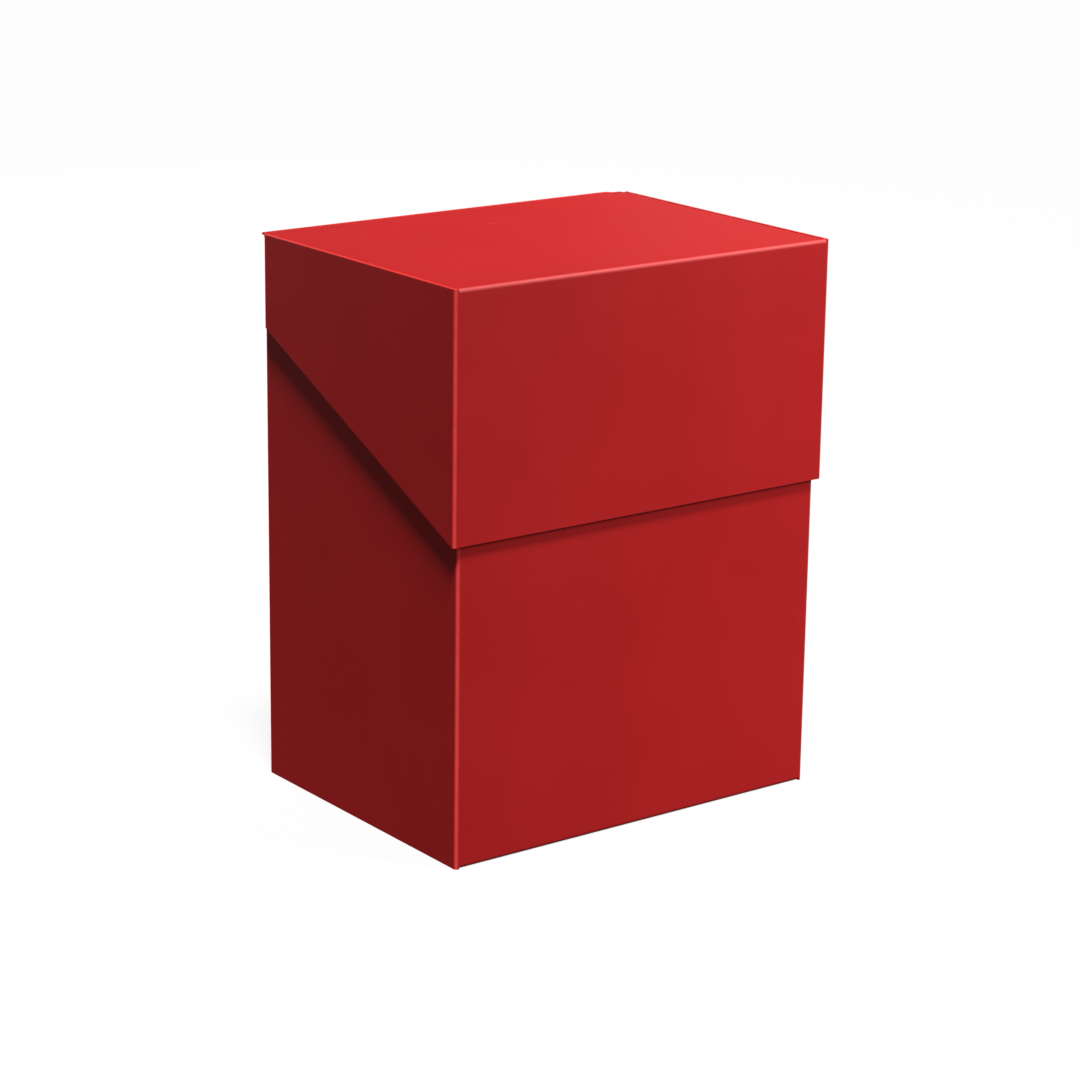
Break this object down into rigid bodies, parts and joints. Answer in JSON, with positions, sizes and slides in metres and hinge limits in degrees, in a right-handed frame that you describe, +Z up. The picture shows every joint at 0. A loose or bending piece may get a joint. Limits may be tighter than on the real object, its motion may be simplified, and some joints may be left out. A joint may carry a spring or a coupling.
{
  "type": "card deck box",
  "caption": "Flip-top box folded from scored plastic sheet, with a slant-sided hinged lid and a loose divider, for a deck of sleeved trading cards.",
  "frame": {"origin": "middle of the base, on the surface the box stands on", "axes": "+X to the box's right seen from the front, -Y out of the front, +Z up"},
  "size_m": [0.076, 0.056, 0.095],
  "materials": {
    "red_polypropylene": "satin",
    "milky_polypropylene": "satin",
    "adhesive": "matte"
  },
  "bodies": {
    "case": {"front_panel": "red_polypropylene", "back_panel": "red_polypropylene", "bottom_panel": "red_polypropylene", "bottom_front_fold": "red_polypropylene", "bottom_back_fold": "red_polypropylene", "living_hinge": "red_polypropylene", "left_side_panel": "red_polypropylene", "right_side_panel": "red_polypropylene", "left_glue_flap": "red_polypropylene", "right_glue_flap": "red_polypropylene", "left_side_glue": "adhesive", "right_side_glue": "adhesive", "left_bottom_tab": "red_polypropylene", "right_bottom_tab": "red_polypropylene", "left_bottom_tab_glue": "adhesive", "right_bottom_tab_glue": "adhesive", "left_bottom_tab_fold": "red_polypropylene", "right_bottom_tab_fold": "red_polypropylene", "left_front_corner_fold": "red_polypropylene", "right_front_corner_fold": "red_polypropylene", "left_back_corner_fold": "red_polypropylene", "right_back_corner_fold": "red_polypropylene"},
    "lid": {"lid_top_panel": "red_polypropylene", "lid_front_flap": "red_polypropylene", "lid_front_fold": "red_polypropylene", "left_lid_side": "red_polypropylene", "right_lid_side": "red_polypropylene", "left_lid_corner_fold": "red_polypropylene", "right_lid_corner_fold": "red_polypropylene", "left_lid_tab": "red_polypropylene", "right_lid_tab": "red_polypropylene", "left_lid_tab_fold": "red_polypropylene", "right_lid_tab_fold": "red_polypropylene", "left_lid_tab_glue": "adhesive", "right_lid_tab_glue": "adhesive"},
    "divider": {"deck_divider": "milky_polypropylene"}
  },
  "joints": [
    {"name": "lid_hinge", "type": "hinge", "parent": "case", "child": "lid", "pos_m": [0, 0.02775, 0.09475], "axis": [-1, 0, 0], "range_deg": [0, 215]},
    {"name": "divider_slide", "type": "slide", "parent": "case", "child": "divider", "axis": [0, -1, 0], "range_m": [0, 0.0528]}
  ]
}
